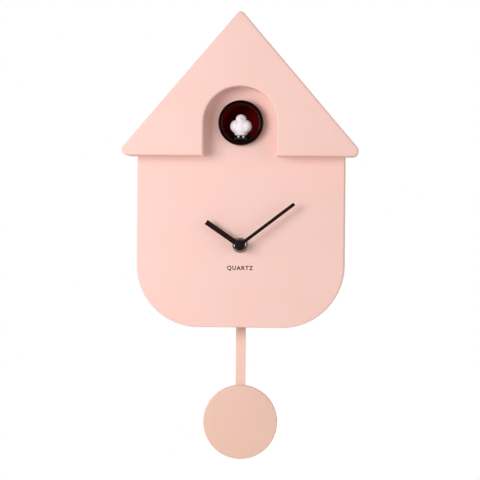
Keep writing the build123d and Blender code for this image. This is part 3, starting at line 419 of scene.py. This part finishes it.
def dress_nodes():
    """Gives every CAD node the finish of its material slot."""
    made = {}
    for part in frame["record"]["subparts"]:
        name = part["material_slot"]
        if name not in made:
            made[name] = FINISHES[name]()
        mesh = frame["nodes"][part["node"]].data
        mesh.materials.clear()
        mesh.materials.append(made[name])
    return made


# ---- pieces ----


def finished(name, body, finish):
    """Names the active piece, merges its doubles, turns its faces out, dresses it and lets it ride a body."""
    piece = bpy.context.object
    piece.name = name
    bpy.ops.object.mode_set(mode="EDIT")
    bpy.ops.mesh.select_all(action="SELECT")
    bpy.ops.mesh.remove_doubles(threshold=0.002 * MM)
    bpy.ops.mesh.normals_make_consistent(inside=False)
    bpy.ops.object.mode_set(mode="OBJECT")
    piece.data.materials.clear()
    piece.data.materials.append(finish)
    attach(piece, body)
    return piece


PRINT_DROP = 20.9  # from the hands' axis down to the printed word
PRINT_SIZE = 5.2
PRINT_SPREAD = 0.13  # by which each stroke is thickened
PRINT_FILM = 0.02  # half the thickness of the ink


def add_dial_print():
    """Small generic word printed in dark ink under the hands."""
    clear_selection()
    bpy.ops.object.text_add()
    word = bpy.context.object
    word.data.body = "QUARTZ"
    word.data.align_x = "CENTER"
    word.data.align_y = "CENTER"
    word.data.size = PRINT_SIZE * MM
    word.data.space_character = 1.2
    word.data.extrude = PRINT_FILM * MM
    word.data.offset = PRINT_SPREAD * MM
    bpy.ops.object.convert(target="MESH")
    upright = Matrix.Rotation(pi / 2, 4, "X")
    place = Matrix.Translation((AXIS.x, FACE_Y - PRINT_FILM * MM, AXIS.z - PRINT_DROP * MM))
    bpy.context.object.data.transform(place @ upright)
    finished("dial_print", "case", printed_ink())


# the bird's lumps: x, y and z of the middle and the three radii, from the ring's axis and the legs
BIRD_LUMPS = (
    (0, -0.6, 3.4, 4.9, 4.9, 4.6),  # head
    (0, 0, -1.6, 7.0, 6.2, 5.6),  # chest
    (0, 0.5, -4.6, 7.4, 7.0, 6.2),  # body
    (-4.4, -0.2, -3.0, 5.5, 5.8, 5.9),  # left wing
    (4.4, -0.2, -3.0, 5.5, 5.8, 5.9),  # right wing
    (0, 9.0, -2.8, 3.0, 8.0, 1.5),  # tail
)
TAIL_REACH = 17.0  # from the legs back to the tail's tip
BIRD_HEM = -11.2  # height of the body's flat underside
HEM_TALL = 4.0
HEM_NARROW, HEM_WIDE = 5.1, 7.3
BEAK_AT = (0, -5.7, 3.2)
BEAK_LENGTH = 2.6
BEAK_ROOT, BEAK_TIP = 1.8, 0.5
LEG_X = 2.25
LEG_RADIUS = 1.1
LEG_TUCK = 1.5  # of each leg that is inside the body


def add_bird(finish):
    """White bird on its stand: lumps melted into one smooth body, with a small beak and two legs."""
    bird_low, bird_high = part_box("bird")
    legs_y = bird_high[1] - TAIL_REACH * MM
    middle = Vector((RING.x, legs_y, RING.z))
    clear_selection()
    lumps = []
    for x, y, z, wide, deep, tall in BIRD_LUMPS:
        centre = middle + Vector((x, y, z)) * MM
        bpy.ops.mesh.primitive_uv_sphere_add(segments=48, ring_count=24, radius=MM, location=centre)
        bpy.context.object.scale = (wide, deep, tall)
        lumps.append(bpy.context.object)
    hem = middle + Vector((0, 0.2, BIRD_HEM + HEM_TALL / 2)) * MM
    bpy.ops.mesh.primitive_cone_add(
        vertices=64, radius1=HEM_NARROW * MM, radius2=HEM_WIDE * MM, depth=HEM_TALL * MM, location=hem
    )
    lumps.append(bpy.context.object)
    bpy.ops.mesh.primitive_cone_add(
        vertices=32,
        radius1=BEAK_ROOT * MM,
        radius2=BEAK_TIP * MM,
        depth=BEAK_LENGTH * MM,
        location=middle + Vector(BEAK_AT) * MM,
        rotation=(pi / 2, 0, 0),
    )
    lumps.append(bpy.context.object)
    leg_length = RING.z + (BIRD_HEM + LEG_TUCK) * MM - bird_low[2]
    for side in (-1, 1):
        foot = Vector((middle.x + side * LEG_X * MM, legs_y, bird_low[2] + leg_length / 2))
        bpy.ops.mesh.primitive_cylinder_add(
            vertices=32, radius=LEG_RADIUS * MM, depth=leg_length, location=foot
        )
        lumps.append(bpy.context.object)
    for lump in lumps:
        lump.select_set(True)
    bpy.ops.object.join()
    bpy.ops.object.transform_apply(location=True, rotation=True, scale=True)
    bird = bpy.context.object
    melt = bird.modifiers.new("melt", "REMESH")
    melt.mode = "VOXEL"
    melt.voxel_size = 0.28 * MM  # fine enough for the legs and beak
    bpy.ops.object.modifier_apply(modifier="melt")
    soften = bird.modifiers.new("soften", "SMOOTH")
    soften.factor = 0.5
    soften.iterations = 7
    bpy.ops.object.modifier_apply(modifier="soften")
    bpy.ops.object.shade_smooth()
    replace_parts(finished("bird_sculpt", "cuckoo", finish), "bird")


finishes = dress_nodes()
add_dial_print()
add_bird(finishes["bird_white"])
bpy.context.scene.view_settings.view_transform = "Standard"
add_camera()
add_world()
for soft_box in SOFT_BOXES:
    add_soft_box(*soft_box)
add_floor()
